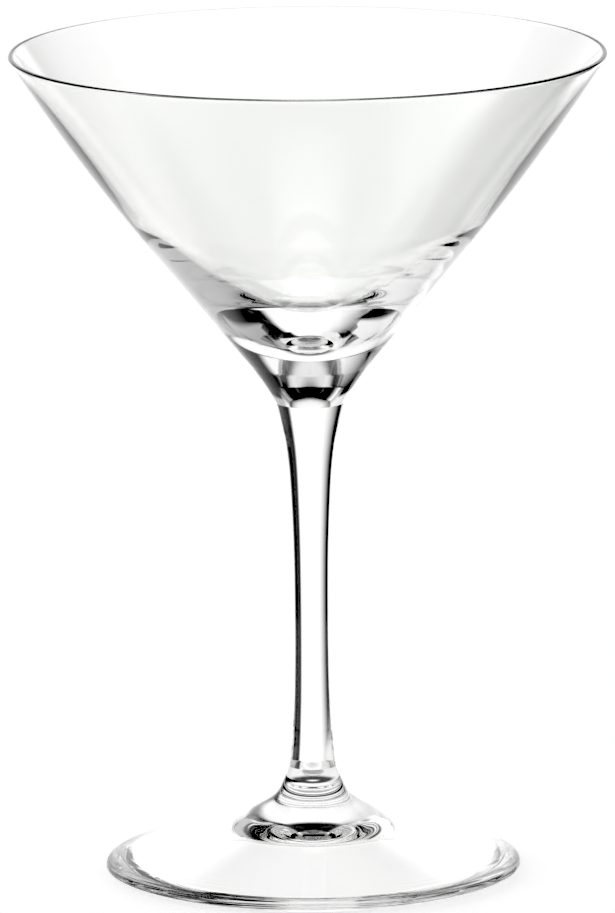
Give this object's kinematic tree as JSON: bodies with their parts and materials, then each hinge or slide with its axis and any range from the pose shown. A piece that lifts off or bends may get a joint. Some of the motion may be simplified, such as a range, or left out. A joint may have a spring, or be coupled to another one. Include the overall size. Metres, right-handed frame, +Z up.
{
  "type": "martini glass",
  "caption": "Stemmed martini glass with a wide conical bowl on a thick solid base, a slender drawn stem and a low conical foot.",
  "frame": {"origin": "centre of the circle that the foot stands on", "axes": "+Z up along the glass's axis, from the foot to the rim; +X and +Y are alike, because the glass is round"},
  "size_m": [0.12, 0.12, 0.168],
  "materials": {
    "bowl_glass": "clear, fire polished",
    "stem_glass": "clear, drawn",
    "foot_glass": "clear, spun"
  },
  "bodies": {
    "root": {"bowl": "bowl_glass", "stem": "stem_glass", "foot": "foot_glass"}
  },
  "joints": []
}
